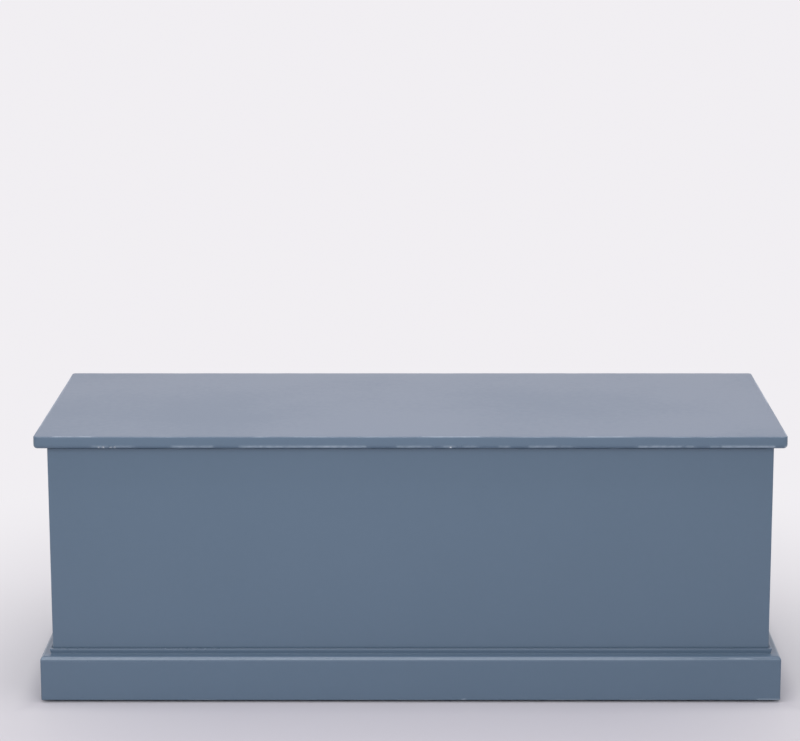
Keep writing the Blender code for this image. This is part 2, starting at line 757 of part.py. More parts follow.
def bracket_mesh(hand):
    """A lid bracket about the stay's pivot at the origin: a round ear beside the arm and a screwed foot."""
    foot_top = STAY_PIVOT_DROP - CLEARANCE
    ear = (
        arc((0, 0), BRACKET_EAR_RADIUS, 200, 340, ARC_STEPS)
        + [(BRACKET_LENGTH / 2, foot_top), (-BRACKET_LENGTH / 2, foot_top)]
    )
    name = f"stay_bracket_{'right' if hand > 0 else 'left'}"
    ear_mesh = outline_mesh(name, [ear, circle((0, 0), RIVET_RADIUS + CLEARANCE, ROUND_STEPS)], BRACKET_THICKNESS)
    ear_mesh.transform(UPRIGHT)
    bracket = bpy.data.objects.new(name + "_blank", ear_mesh)
    PARTS.objects.link(bracket)
    foot = box_bmesh((BRACKET_WIDTH, BRACKET_LENGTH, BRACKET_THICKNESS))
    shift = -hand * (BRACKET_WIDTH - BRACKET_THICKNESS) / 2
    bmesh.ops.translate(foot, vec=(shift, 0, foot_top - BRACKET_THICKNESS / 2), verts=foot.verts)
    union_into(bracket, [as_mesh(foot, "foot")])
    face = foot_top - LEAF_THICKNESS
    x = -hand * BRACKET_WIDTH / 2
    places = [(x, y, face) for y in (-BRACKET_SCREW_SPACING / 2, BRACKET_SCREW_SPACING / 2)]
    countersink(bracket, name + "_countersinks", places, upward=False)
    mesh = evaluated_mesh(bracket, name)
    remove_with_cutters(bracket)
    return smoothed(mesh)


def arm_mesh():
    """A stay arm along X from its pivot at the origin, with its slot."""
    outer = slot_outline(0, SLOT_END + ARM_END_MARGIN, ARM_WIDTH / 2)
    slot = slot_outline(SLOT_START, SLOT_END, STUD_RADIUS + CLEARANCE)
    hole = circle((0, 0), RIVET_RADIUS + CLEARANCE, ROUND_STEPS)
    mesh = outline_mesh("stay_arm", [outer, slot, hole], ARM_THICKNESS)
    # The arm points from the pivot to the stud
    mesh.transform(Matrix.Rotation(ARM_TILT - math.pi, 4, "X") @ UPRIGHT)
    return mesh


def add_stays(side_panels, lid_panel, screw):
    """One stay at each end: bracket and rivet move with the lid, the stud stays on the side panel."""
    arm = arm_mesh()
    stud = stud_mesh()
    rivet = rivet_mesh()
    mouths = []
    for name, hand in HANDS:
        pivot = PIVOT + Vector((hand * ARM_PLANE, 0, 0))
        empty = add_empty(f"{name}_stay_axis", pivot, LID)
        add_part(f"{name}_stay_arm", arm, STEEL, empty, pivot)
        ear = PIVOT + Vector((hand * EAR_PLANE, 0, 0))
        add_part(f"{name}_stay_bracket", bracket_mesh(hand), STEEL, LID, ear)
        along = (0, math.pi / 2, 0)
        add_part(f"{name}_stay_rivet", rivet, STEEL, LID, (pivot + ear) / 2, along)
        seat = Vector((hand * HALF_INNER, STUD.y, STUD.z))
        add_part(f"{name}_stay_stud", stud, STEEL, CARCASS, seat, (0, -hand * math.pi / 2, 0))
        drill(
            side_panels[name], f"{name}_stud_hole", [seat],
            STUD_SHANK_RADIUS + CLEARANCE, STUD_SHANK_LENGTH + CLEARANCE, (hand, 0, 0),
        )
        x = ear.x - hand * BRACKET_WIDTH / 2
        face = LID_UNDERSIDE - CLEARANCE - LEAF_THICKNESS
        for number, shift in enumerate((-BRACKET_SCREW_SPACING / 2, BRACKET_SCREW_SPACING / 2), 1):
            y = PIVOT.y + shift
            add_part(f"{name}_bracket_screw_{number}", screw, STEEL, LID, (x, y, face), (math.pi, 0, 0))
            mouths.append((x, y, LID_UNDERSIDE))
    hole_depth = SCREW_LENGTH - LEAF_THICKNESS
    drill(lid_panel, "lid_bracket_screw_holes", mouths, SCREW_RADIUS + CLEARANCE, hole_depth, (0, 0, 1))


clear_scene()
PARTS = new_collection("storage_chest")
CUTTERS = new_collection("cutters")
HANDS = (("left", -1), ("right", 1))

PAINT = principled("blue_grey_paint", (0.118, 0.170, 0.232), 0.45)
PLYWOOD = principled("plywood", (0.56, 0.40, 0.25), 0.60)
BARE_WOOD = principled("pine", (0.58, 0.41, 0.24), 0.65)
STEEL = principled("zinc_plated_steel", (0.62, 0.62, 0.60), 0.35, 1.0)
NYLON = principled("brown_nylon", (0.055, 0.040, 0.030), 0.50)
RUBBER = principled("clear_rubber", (0.45, 0.45, 0.43), 0.60)

CARCASS = add_empty("carcass", (0, 0, 0))
LID = add_empty("lid_axis", HINGE_AXIS, CARCASS)

front_panel, back_panel, side_panels = add_panels()
add_bottom()
add_feet()
add_plinth()
add_bumpers()
lid_panel = add_lid()
wood_screw = add_hinges(back_panel, lid_panel)
add_stays(side_panels, lid_panel, wood_screw)
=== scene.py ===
"""The looks of the painted storage chest: fine boards, satin paint, bare wood, hardware and studio light.

X runs along the width, -Y is the front and +Z is up, in metres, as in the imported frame.
"""

import math

import bmesh
import bpy
from mathutils import Matrix, Vector, noise


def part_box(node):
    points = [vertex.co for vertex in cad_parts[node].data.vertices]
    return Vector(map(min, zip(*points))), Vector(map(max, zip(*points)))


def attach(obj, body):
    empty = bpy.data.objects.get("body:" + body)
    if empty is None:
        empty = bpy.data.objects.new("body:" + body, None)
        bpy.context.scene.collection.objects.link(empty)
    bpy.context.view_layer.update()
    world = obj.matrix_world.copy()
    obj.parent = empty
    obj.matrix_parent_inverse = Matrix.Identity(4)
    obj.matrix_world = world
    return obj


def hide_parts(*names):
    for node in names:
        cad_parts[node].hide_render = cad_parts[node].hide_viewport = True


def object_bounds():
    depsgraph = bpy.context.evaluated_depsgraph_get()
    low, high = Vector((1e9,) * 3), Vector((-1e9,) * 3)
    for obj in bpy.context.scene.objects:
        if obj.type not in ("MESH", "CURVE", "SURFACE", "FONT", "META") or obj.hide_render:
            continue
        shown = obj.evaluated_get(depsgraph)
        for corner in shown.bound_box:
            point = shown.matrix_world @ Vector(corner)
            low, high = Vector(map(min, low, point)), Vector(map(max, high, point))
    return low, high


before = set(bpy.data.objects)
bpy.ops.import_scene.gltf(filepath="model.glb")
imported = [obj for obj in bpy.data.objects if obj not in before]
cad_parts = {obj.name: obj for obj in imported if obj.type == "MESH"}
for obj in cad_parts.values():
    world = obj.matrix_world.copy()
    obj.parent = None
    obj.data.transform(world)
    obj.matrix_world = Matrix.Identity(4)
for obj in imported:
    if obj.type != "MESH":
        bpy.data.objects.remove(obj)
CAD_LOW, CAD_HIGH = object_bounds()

# Directions of the chest's faces
FRONT = (0, -1, 0)
BACK = (0, 1, 0)
UP = (0, 0, 1)
DOWN = (0, 0, -1)

# The camera, fitted to the chest's edges in the photo. Places and lengths in the picture are in its pixels,
# and the sensor's width is in millimetres
IMAGE_WIDTH = 800
IMAGE_HEIGHT = 741
FOCAL_LENGTH = 2488
OPTICAL_CENTRE = (425, 300)
SENSOR_WIDTH = 36
CAMERA_PLACE = (0.025, -4.408, 1.5282)
CAMERA_PITCH = math.radians(11.0)

# Rounding of the boards' edges. The lid's top arris is crisp, and its lower one is much rounder. Its corners
# have the largest radius, which leaves the lower rounding room to turn
LID_TOP_RADIUS = 0.0016
LID_UNDER_RADIUS = 0.0065
LID_CORNER_RADIUS = 0.0072
PANEL_RADIUS = 0.0015
BATTEN_RADIUS = 0.002
CRISP_RADIUS = 0.0003
SOFT_SEGMENTS = 6
CRISP_SEGMENTS = 2

# Tests that find edges and faces: the least angle of a sharp corner, the cosine from which a face looks the
# same way as a direction, and the share of its length that an upright edge has to rise
CORNER_ANGLE = math.radians(80)
SAME_WAY_COSINE = 0.99
UPRIGHT_SHARE = 0.9

# Cuts across the boards: their spacing along X, Y and Z, how far beside a rounding they start, and how near a
# cut has to pass a point to go through it
LID_STEPS = (0.004, 0.010, 0.006)
LONG_PANEL_STEPS = (0.02, 0.006, 0.02)
SIDE_PANEL_STEPS = (0.006, 0.02, 0.02)
BATTEN_STEPS = (0.01, 0.02, 0.006)
SUPPORT = 0.0012
CUT_MERGE = 0.00001

# The plinth's moulding. Paint closes its joint with the panel, where its node keeps a clearance
CLEARANCE = 0.0003
PAINTED_JOINT = 0.00002
LIP_DEPTH = 0.0055
LIP_RADIUS = 0.0006
UPSTAND = 0.0103
UPSTAND_FOOT_DEPTH = 0.0035
COVE_RADIUS = 0.0008
NOSE_RADIUS = 0.0070
NOSE_STEPS = 10
FLAT_SHARES = (0.04, 0.5, 0.96)
FOOT_RADIUS = 0.0012
EASE_STEPS = 4
MITRE_RADIUS = 0.0022
MITRE_RADIUS_SHARE = 0.6
MITRE_STEPS = 4
MITRE_GAP = 0.0001
PLINTH_STEP = 0.006

# Painted highlight on the plinth, in lighter paint: how strong it is on nose and lip, where the nose's
# highlight is brightest, as an angle, how far it reaches, measured in the nose's radius and the lip's depth,
# and where it fades out on the front board
NOSE_HIGHLIGHT = 0.22
NOSE_CROWN = math.radians(32)
NOSE_HIGHLIGHT_REACH = (0.1, 0.7)
LIP_HIGHLIGHT = 0.1
LIP_HIGHLIGHT_REACH = (0.3, 1.0)
PLINTH_HIGHLIGHT_END = (0.40, 0.56)

# Slotted screws that hold each batten to the lid. Their heads stand a little proud of the wood
BATTEN_SCREWS = 4
SCREW_RADIUS = 0.0042
SCREW_DEPTH = 0.0024
SCREW_PROUD = 0.0003
SCREW_RIM = 0.0004
SCREW_SLOT = 0.0011
SCREW_SLOT_DEPTH = 0.0012
SCREW_SIDES = 32
SCREW_TURN = math.radians(37)
SCREW_MERGE = 0.000001

# Unevenness left by sanding and painting by hand: depths, and scales of their noise in waves per metre. Two
# shares of an edge's radius say how deep sanding goes at most and how far in from the edge it starts to fade
FACE_WAVE = 0.00012
FACE_WAVE_SCALE = 7.0
SANDING = 0.0005
SANDING_SCALE = 30.0
SANDING_DEPTH_SHARE = 0.25
SANDING_FADE_SHARE = 0.3

# Wear of edges: the fade at both ends of a worn stretch, the depth of a rub, and the noise that breaks it up
WEAR_FADE = 0.004
RUB_DEPTH = 0.0005
RAGGED_SCALE = 160.0
RAGGED_LEVEL = 0.75
RAGGED_SWING = 0.5

# Rub on the lid's edges, measured in the edge's radius: where the top arris's rub and painted highlight fade
# inwards and downwards, the cuts that carry the fade, and the middle of the band on the lower arris and where
# that fades
TOP_RUB_AND_HIGHLIGHT_INWARD = (1.2, 2.4)
TOP_RUB_AND_HIGHLIGHT_DOWNWARD = (0.15, 0.65)
TOP_RUB_AND_HIGHLIGHT_CUTS = (1.5, 2.4)
LOWER_RUB = 0.8
LOWER_RUB_MIDDLE = 0.62
LOWER_RUB_SPREAD = (0.20, 0.50)

# Patches of rub on the lid's ends, where noise rises through a range
END_RUB = 0.6
END_PATCH_SCALE = 11.0
END_PATCH_RANGE = (0.05, 0.30)

# Chips in the lid's lower edge: their depth, where they fade, measured in the edge's radius, the share of
# their half width at full depth, and the cuts on each side of their middle
CHIP_DEPTH = 0.0012
CHIP_REACH = (0.48, 0.72)
CHIP_FADE_SHARE = 0.3
CHIP_CUTS = 6

# Stretches of the lid's front edge where the paint is rubbed: from, to, and how much. X is 0 in the middle.
# On the top arris the lighter paint also stands for a painted highlight
TOP_EDGE_WEAR_AND_HIGHLIGHT = (
    (-0.612, -0.582, 1.0),
    (-0.572, -0.548, 1.0),
    (-0.264, -0.248, 0.4),
    (-0.200, -0.186, 0.5),
    (-0.178, -0.144, 0.6),
    (-0.084, -0.036, 0.3),
    (0.020, 0.118, 0.9),
    (0.262, 0.296, 0.3),
    (0.306, 0.366, 0.8),
    (0.520, 0.570, 0.3),
)
LOWER_EDGE_WEAR = (
    (-0.547, -0.523, 0.5),
    (-0.514, -0.477, 0.5),
    (-0.410, -0.390, 0.8),
    (-0.388, -0.341, 0.6),
    (-0.292, -0.151, 0.8),
    (-0.149, -0.111, 1.0),
    (-0.109, -0.079, 0.8),
    (-0.022, 0.036, 0.6),
    (0.057, 0.076, 0.7),
    (0.092, 0.113, 0.5),
    (0.154, 0.168, 0.6),
    (0.206, 0.251, 0.7),
    (0.261, 0.279, 0.4),
    (0.393, 0.466, 0.8),
    (0.476, 0.487, 0.7),
    (0.517, 0.529, 0.6),
    (0.538, 0.625, 0.9),
)
# The same along the foot of the front plinth
FOOT_WEAR = (
    (0.0895, 0.0920, 0.6),
    (0.608, 0.646, 0.45),
)
# Chips in the lid's lower front edge: middle and half width
CHIPS = ((-0.5372, 0.0022), (-0.5294, 0.0028), (-0.5165, 0.0028), (-0.5095, 0.0022), (0.0692, 0.0022))

# Rounded edges of the nodes that keep their solids: widths, the least angle between the faces of an edge that
# is rounded, and how near each other points are merged first
BOARD_EDGE = 0.0008
PLYWOOD_EDGE = 0.0005
MOULDED_EDGE = 0.0003
STEEL_EDGE = 0.0002
LEAF_EDGE = 0.00015
SCREW_EDGE = 0.0001
EDGE_SEGMENTS = 2
EDGE_ANGLE = math.radians(40)
WELD_DISTANCE = 0.00001

# Colours
PAINT_COLOUR = (0.101, 0.153, 0.219)
PAINT_DEEP = (0.097, 0.148, 0.212)
# Lighter paint of rubs, also used as painted highlight on the lid's top arris and the plinth's nose and lip
PAINT_FADED_AND_HIGHLIGHT = (0.360, 0.440, 0.530)
PRIMER_COLOUR = (0.66, 0.70, 0.74)
PINE_LIGHT = (0.62, 0.44, 0.26)
PINE_DARK = (0.42, 0.25, 0.12)
PLY_LIGHT = (0.60, 0.45, 0.29)
PLY_DARK = (0.45, 0.31, 0.18)
ZINC_COLOUR = (0.60, 0.61, 0.62)
ZINC_DULL = (0.44, 0.45, 0.45)
NYLON_COLOUR = (0.060, 0.043, 0.032)
NYLON_DEEP = (0.045, 0.033, 0.025)
RUBBER_COLOUR = (0.46, 0.46, 0.44)
RUBBER_DEEP = (0.40, 0.40, 0.38)
FLOOR_COLOUR = (0.56, 0.55, 0.59)
BACKDROP_COLOUR = (0.88, 0.86, 0.89)

# Finishes. Scales of noise are in waves per metre, along the grain and across it where there are two. Noise
# runs from 0 to 1, and a range is the part of it that a finish stretches over its two colours or values.
# Relief is a height in metres
EVEN_RANGE = (0.3, 0.7)
BLOTCH_SCALE = 2.6
BLOTCH_SHARE = 0.75
MOTTLE_SCALE = 85.0
MOTTLE_SHARE = 0.25
PAINT_RANGE = (0.35, 0.65)
PAINT_ROUGHNESS_RANGE = (0.38, 0.62)
PAINT_ROUGHNESS = (0.275, 0.325)
STROKE_SCALES = (9.0, 520.0)
STROKE_RELIEF = 0.000004
STIPPLE_SCALE = 900.0
STIPPLE_RELIEF = 0.000002
ARRIS_REACH = (0.0005, 0.0018)
ARRIS_RUB = 0.35
RUB_PATCH_SCALE = 14.0
RUB_PATCH_RANGE = (0.50, 0.64)
RUB_POLISH = 0.08
CHIP_SCALE = 420.0
CHIP_RANGE = (0.36, 0.52)
CHIP_RELIEF = 0.0002
SWAY_SCALES = (1.4, 14.0)
SWAY = 9.0
PINE_RINGS = 90.0
PLY_RINGS = 22.0
RING_STRETCH = (0.06, 1.0)
RING_DISTORTION = 5.0
RING_DETAIL = 2.0
RING_DETAIL_SCALE = 1.2
RING_SHARE = 0.6
PORE_SCALES = (28.0, 1400.0)
PORE_SHARE = 0.5
WOOD_RANGE = (0.25, 0.95)
WOOD_ROUGHNESS = (0.50, 0.66)
WOOD_RELIEF = 0.00008
PLATING_SCALE = 190.0
PLATING_RANGE = (0.35, 0.68)
SPANGLE_SCALE = 60.0
ZINC_ROUGHNESS = (0.26, 0.38)
ROLLING_SCALES = (300.0, 2600.0)
ROLLING_ROUGHNESS = 0.08
ROLLING_RELIEF = 0.00001
MOULDED_SCALE = 240.0
SKIN_SCALE = 2600.0
SKIN_ROUGHNESS = (-0.05, 0.07)
SKIN_RELIEF = 0.00002
NYLON_ROUGHNESS = 0.45
RUBBER_ROUGHNESS = 0.55

# Floor. It fades into the backdrop between two distances from a point in front of the chest, measured on a
# plan pressed together along Y, and keeps its own colour and its shadow under the chest and right beside it
FLOOR_RADIUS = 60
FLOOR_SIDES = 96
FLOOR_ROUGHNESS = 0.7
FLOOR_SCALE = 60.0
FLOOR_RELIEF = 0.0001
FLOOR_FADE = (0.28, 1.5)
FLOOR_PRESS = (1.0, 0.8, 1.0)
FLOOR_SHIFT = (0, 0.32, 0)
FOOTPRINT_FADE = 0.05

# Light: the points that the lamps face, their colours, the watts of a square metre of lamp for each unit of
# brightness, and the even light all round
FRONT_AIM = (0, -0.1, 0.3)
MIDDLE_AIM = (0, 0, 0.3)
BACK_AIM = (0, 0.1, 0.3)
WHITE = (1.0, 1.0, 1.0)
WARM_WHITE = (1.0, 0.93, 0.97)
PINK = (1.0, 0.6, 1.0)
LAMP_POWER = 4
FILL_COLOUR = (0.98, 0.98, 1.0)
FILL_STRENGTH = 0.42

# Numbers of a Mix node's colour sockets
MIX_FIRST = 6
MIX_SECOND = 7
MIX_RESULT = 2


# Materials

class Shader:
    """A material's node tree, with short calls for the nodes that the finishes share."""

    def __init__(self, name):
        self.material = bpy.data.materials.new(name)
        self.material.use_nodes = True
        self.tree = self.material.node_tree
        self.surface = self.tree.nodes["Principled BSDF"]
        self.place = self.add("ShaderNodeTexCoord").outputs["Object"]

    def add(self, kind, **settings):
        node = self.tree.nodes.new(kind)
        for key, value in settings.items():
            setattr(node, key, value)
        return node

    def set(self, socket, value):
        """Links an output to a socket, or writes a constant into it."""
        if isinstance(value, bpy.types.NodeSocket):
            self.tree.links.new(value, socket)
        elif isinstance(value, tuple) and len(value) == 3 and socket.type == "RGBA":
            socket.default_value = (*value, 1)
        else:
            socket.default_value = value

    def math(self, operation, first, second=0.0):
        node = self.add("ShaderNodeMath", operation=operation)
        self.set(node.inputs[0], first)
        self.set(node.inputs[1], second)
        return node.outputs[0]

    def weighted(self, first, first_share, second, second_share):
        """The sum of two values, each times its share."""
        parts = (self.math("MULTIPLY", first, first_share), self.math("MULTIPLY", second, second_share))
        return self.math("ADD", *parts)

    def stretched(self, scale, shift=(0, 0, 0)):
        node = self.add("ShaderNodeMapping")
        self.set(node.inputs["Vector"], self.place)
        self.set(node.inputs["Location"], shift)
        self.set(node.inputs["Scale"], scale)
        return node.outputs[0]

    def noise(self, scale, detail=2.0, vector=None):
        node = self.add("ShaderNodeTexNoise")
        self.set(node.inputs["Vector"], vector or self.place)
        self.set(node.inputs["Scale"], scale)
        self.set(node.inputs["Detail"], detail)
        return node.outputs["Fac"]

    def drawn_out(self, axis, scales, detail):
        """Noise with one scale along an axis and another across it."""
        return self.noise(1.0, detail, self.stretched(along(axis, *scales)))

    def ramp(self, value, low, high, start=0.0, end=1.0):
        """Maps low to start and high to end, smoothly and clamped."""
        node = self.add("ShaderNodeMapRange", interpolation_type="SMOOTHSTEP")
        for socket, number in zip(node.inputs[:5], (value, low, high, start, end)):
            self.set(socket, number)
        return node.outputs[0]

    def mix(self, share, first, second):
        node = self.add("ShaderNodeMix", data_type="RGBA")
        self.set(node.inputs["Factor"], share)
        self.set(node.inputs[MIX_FIRST], first)
        self.set(node.inputs[MIX_SECOND], second)
        return node.outputs[MIX_RESULT]

    def attribute(self, name):
        return self.add("ShaderNodeAttribute", attribute_name=name).outputs["Fac"]

    def bump(self, height, distance, below=None):
        node = self.add("ShaderNodeBump")
        self.set(node.inputs["Height"], height)
        self.set(node.inputs["Distance"], distance)
        if below:
            self.set(node.inputs["Normal"], below)
        return node.outputs[0]

    def finish(self, colour, roughness, normal, metallic=0.0):
        self.set(self.surface.inputs["Base Color"], colour)
        self.set(self.surface.inputs["Roughness"], roughness)
        self.set(self.surface.inputs["Normal"], normal)
        self.set(self.surface.inputs["Metallic"], metallic)
        return self.material


def along(axis, length_scale, cross_scale):
    """Texture scales that stretch a pattern along one axis."""
    return tuple(length_scale if number == axis else cross_scale for number in range(3))


def paint_material(name, axis):
    """Satin paint, brushed along one axis, faded arrises and painted highlights, the odd chip down to the
    primer.
    """
    shader = Shader(name)
    blotches = shader.noise(BLOTCH_SCALE, detail=3.0)
    mottle = shader.noise(MOTTLE_SCALE, detail=4.0)
    strokes = shader.drawn_out(axis, STROKE_SCALES, detail=3.0)
    stipple = shader.noise(STIPPLE_SCALE)
    tone = shader.weighted(blotches, BLOTCH_SHARE, mottle, MOTTLE_SHARE)
    paint = shader.mix(shader.ramp(tone, *PAINT_RANGE), PAINT_COLOUR, PAINT_DEEP)
    near_edge = shader.ramp(shader.attribute("edge_distance"), *ARRIS_REACH, ARRIS_RUB, 0.0)
    patches = shader.ramp(shader.noise(RUB_PATCH_SCALE, detail=5.0), *RUB_PATCH_RANGE)
    # The rub attribute holds rubs and painted highlights: lighter paint on the lid's top arris and the
    # plinth's nose and lip
    lightening = shader.math("MAXIMUM", shader.math("MULTIPLY", near_edge, patches), shader.attribute("rub_and_highlight"))
    faded = shader.mix(lightening, paint, PAINT_FADED_AND_HIGHLIGHT)
    flakes = shader.ramp(shader.noise(CHIP_SCALE, detail=3.0), *CHIP_RANGE)
    chips = shader.math("MULTIPLY", shader.attribute("chip"), flakes)
    colour = shader.mix(chips, faded, PRIMER_COLOUR)
    unworn_roughness = shader.ramp(tone, *PAINT_ROUGHNESS_RANGE, *PAINT_ROUGHNESS)
    roughness = shader.math("SUBTRACT", unworn_roughness, shader.math("MULTIPLY", lightening, RUB_POLISH))
    relief = shader.bump(stipple, STIPPLE_RELIEF)
    relief = shader.bump(strokes, STROKE_RELIEF, relief)
    relief = shader.bump(chips, -CHIP_RELIEF, relief)
    return shader.finish(colour, roughness, relief)


def wood_material(name, axis, light, dark, ring_scale):
    """Bare planed wood: growth rings round a distant pith, drawn out along the grain, with fine pores."""
    shader = Shader(name)
    sway = shader.drawn_out(axis, SWAY_SCALES, detail=2.0)
    rings = shader.add("ShaderNodeTexWave", wave_type="RINGS", rings_direction="XYZ"[axis])
    shader.set(rings.inputs["Vector"], shader.stretched(along(axis, *RING_STRETCH)))
    shader.set(rings.inputs["Scale"], ring_scale)
    shader.set(rings.inputs["Distortion"], RING_DISTORTION)
    shader.set(rings.inputs["Detail"], RING_DETAIL)
    shader.set(rings.inputs["Detail Scale"], RING_DETAIL_SCALE)
    shader.set(rings.inputs["Phase Offset"], shader.math("MULTIPLY", sway, SWAY))
    pores = shader.drawn_out(axis, PORE_SCALES, detail=3.0)
    tone = shader.weighted(rings.outputs["Fac"], RING_SHARE, pores, PORE_SHARE)
    colour = shader.mix(shader.ramp(tone, *WOOD_RANGE), light, dark)
    roughness = shader.ramp(pores, *EVEN_RANGE, *WOOD_ROUGHNESS)
    return shader.finish(colour, roughness, shader.bump(tone, WOOD_RELIEF))


def zinc_material():
    """Zinc-plated steel: a dull, faintly cloudy plating with fine rolling marks and smoother spots."""
    shader = Shader("zinc_plated_steel")
    clouds = shader.noise(PLATING_SCALE, detail=4.0)
    spangle = shader.noise(SPANGLE_SCALE)
    marks = shader.drawn_out(0, ROLLING_SCALES, detail=2.0)
    colour = shader.mix(shader.ramp(clouds, *PLATING_RANGE), ZINC_COLOUR, ZINC_DULL)
    plating_roughness = shader.ramp(spangle, *EVEN_RANGE, *ZINC_ROUGHNESS)
    roughness = shader.math("ADD", plating_roughness, shader.math("MULTIPLY", marks, ROLLING_ROUGHNESS))
    return shader.finish(colour, roughness, shader.bump(marks, ROLLING_RELIEF), metallic=1.0)


def moulded_material(name, colour, deep, roughness):
    """A small moulded part: even colour with faint clouding and a fine matt skin."""
    shader = Shader(name)
    clouds = shader.noise(MOULDED_SCALE, detail=3.0)
    skin = shader.noise(SKIN_SCALE, detail=1.0)
    tone = shader.mix(shader.ramp(clouds, *EVEN_RANGE), colour, deep)
    skin_roughness = shader.ramp(skin, *EVEN_RANGE, *(roughness + change for change in SKIN_ROUGHNESS))
    return shader.finish(tone, skin_roughness, shader.bump(skin, SKIN_RELIEF))


# Mesh helpers

def finished_object(name, shape, material, body, nodes=()):
    """A smooth shaded piece made from a bmesh, riding on a body in place of any CAD nodes that are named."""
    mesh = bpy.data.meshes.new(name)
    shape.to_mesh(mesh)
    shape.free()
    mesh.shade_smooth()
    mesh.materials.append(material)
    piece = bpy.data.objects.new(name, mesh)
    bpy.context.scene.collection.objects.link(piece)
    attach(piece, body)
    if nodes:
        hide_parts(*nodes)
    return piece


def box_shape(low, high):
    shape = bmesh.new()
    bmesh.ops.create_cube(shape, size=1)
    bmesh.ops.scale(shape, vec=high - low, verts=shape.verts)
    bmesh.ops.translate(shape, vec=(low + high) / 2, verts=shape.verts)
    return shape


def round_edges(shape, edges, radius, segments):
    bmesh.ops.bevel(shape, geom=edges, offset=radius, segments=segments, profile=0.5, affect="EDGES")


def is_corner(edge):
    """True for an edge between two faces at a right angle."""
    return edge.calc_face_angle(0) > CORNER_ANGLE


def is_upright(edge):
    first, second = (vertex.co for vertex in edge.verts)
    return abs(first.z - second.z) > UPRIGHT_SHARE * (first - second).length


def looks(face, direction):
    return face.normal.dot(Vector(direction)) > SAME_WAY_COSINE


def beside(*directions):
    """A test for edges of the faces that look in these directions."""
    return lambda edge: any(looks(face, direction) for face in edge.link_faces for direction in directions)


def grid_places(low, high, margin, step, extra=()):
    """Places of cuts between two ends: one at the margin from each, even steps between, and extra ones."""
    inner = high - low - 2 * margin
    count = max(1, round(inner / step))
    places = [low + margin + inner * number / count for number in range(count + 1)]
    return sorted([*places, *extra])


def cut_across(shape, axis, places):
    normal = Vector([1.0 if number == axis else 0.0 for number in range(3)])
    for place in places:
        everything = [*shape.verts, *shape.edges, *shape.faces]
        bmesh.ops.bisect_plane(
            shape, geom=everything, dist=CUT_MERGE, plane_co=normal * place, plane_no=normal
        )


def smoothstep(value, low, high):
    share = min(1.0, max(0.0, (value - low) / (high - low)))
    return share * share * (3 - 2 * share)


def fade(value, low, high):
    """1 up to low and 0 from high on, smoothly between."""
    return 1 - smoothstep(value, low, high)


def ripple(place):
    """Smooth noise from 0 to 1."""
    return 0.5 + 0.5 * noise.noise(place)


# Unevenness and wear

def measure_edges(shape, low, high):
    """Writes each vertex's distance from the nearest edge of the box, for the paint's wear."""
    layer = shape.verts.layers.float.new("edge_distance")
    for vertex in shape.verts:
        gaps = sorted(min(vertex.co[axis] - low[axis], high[axis] - vertex.co[axis]) for axis in range(3))
        vertex[layer] = gaps[1]
    return layer


def sand_board(shape, low, high, layer, radius):
    """Moves vertices inwards: a faint wave on the faces and an uneven rounding of the edges."""
    shape.normal_update()
    depth = min(SANDING, radius * SANDING_DEPTH_SHARE)
    moves = []
    for vertex in shape.verts:
        inner = Vector([
            min(max(vertex.co[axis], low[axis] + 2 * radius), high[axis] - 2 * radius) for axis in range(3)
        ])
        inward = (inner - vertex.co).normalized()
        wave = ripple(vertex.co * FACE_WAVE_SCALE + low)
        edge_share = fade(vertex[layer], SANDING_FADE_SHARE * radius, radius)
        sanding = ripple(vertex.co * SANDING_SCALE + high)
        moves.append(-vertex.normal * FACE_WAVE * wave + inward * depth * edge_share * sanding)
    for vertex, move in zip(shape.verts, moves):
        vertex.co += move


def along_spans(place, spans):
    """The wear at a place along an edge, soft at the ends of each span."""
    wear = 0.0
    for start, end, share in spans:
        inside = smoothstep(place, start - WEAR_FADE, start) * fade(place, end, end + WEAR_FADE)
        wear = max(wear, share * inside)
    return wear


def chip_share(place):
    return max(fade(abs(place - middle), CHIP_FADE_SHARE * half, half) for middle, half in CHIPS)


def near_arris(gap):
    """1 at the lid's upper arris, fading to 0 a little way in over the top."""
    return fade(gap / LID_TOP_RADIUS, *TOP_RUB_AND_HIGHLIGHT_INWARD)


def wear_lid_edges(shape, low, high, rub_and_highlight, chip):
    """Rubs the lid's front arrises where their spans say, the top one with a painted highlight too, and its
    ends in patches, and knocks chips out.
    """
    for vertex in shape.verts:
        front_gap = vertex.co.y - low.y
        end_gap = min(vertex.co.x - low.x, high.x - vertex.co.x)
        height = vertex.co.z - low.z
        lower_gap = math.hypot(front_gap, height)
        ragged = min(1.0, RAGGED_LEVEL + RAGGED_SWING * noise.noise(vertex.co * RAGGED_SCALE))
        patch = END_RUB * smoothstep(noise.noise(vertex.co * END_PATCH_SCALE), *END_PATCH_RANGE)
        top_wear_and_highlight = along_spans(vertex.co.x, TOP_EDGE_WEAR_AND_HIGHLIGHT)
        top_rub_and_highlight = max(top_wear_and_highlight * near_arris(front_gap), patch * near_arris(end_gap))
        top_rub_and_highlight *= fade((high.z - vertex.co.z) / LID_TOP_RADIUS, *TOP_RUB_AND_HIGHLIGHT_DOWNWARD)
        lower_share = max(
            along_spans(vertex.co.x, LOWER_EDGE_WEAR) if front_gap < LID_UNDER_RADIUS else 0,
            patch if end_gap < LID_UNDER_RADIUS else 0,
        )
        band = abs(height / LID_UNDER_RADIUS - LOWER_RUB_MIDDLE)
        lower_share *= LOWER_RUB * fade(band, *LOWER_RUB_SPREAD)
        vertex[rub_and_highlight] = ragged * max(top_rub_and_highlight, lower_share)
        if lower_gap < LID_UNDER_RADIUS:
            vertex[chip] = chip_share(vertex.co.x) * fade(lower_gap / LID_UNDER_RADIUS, *CHIP_REACH)
            worn = RUB_DEPTH * vertex[rub_and_highlight] + CHIP_DEPTH * vertex[chip]
            vertex.co += Vector((0, 1, 1)) * worn / 2


# Boards

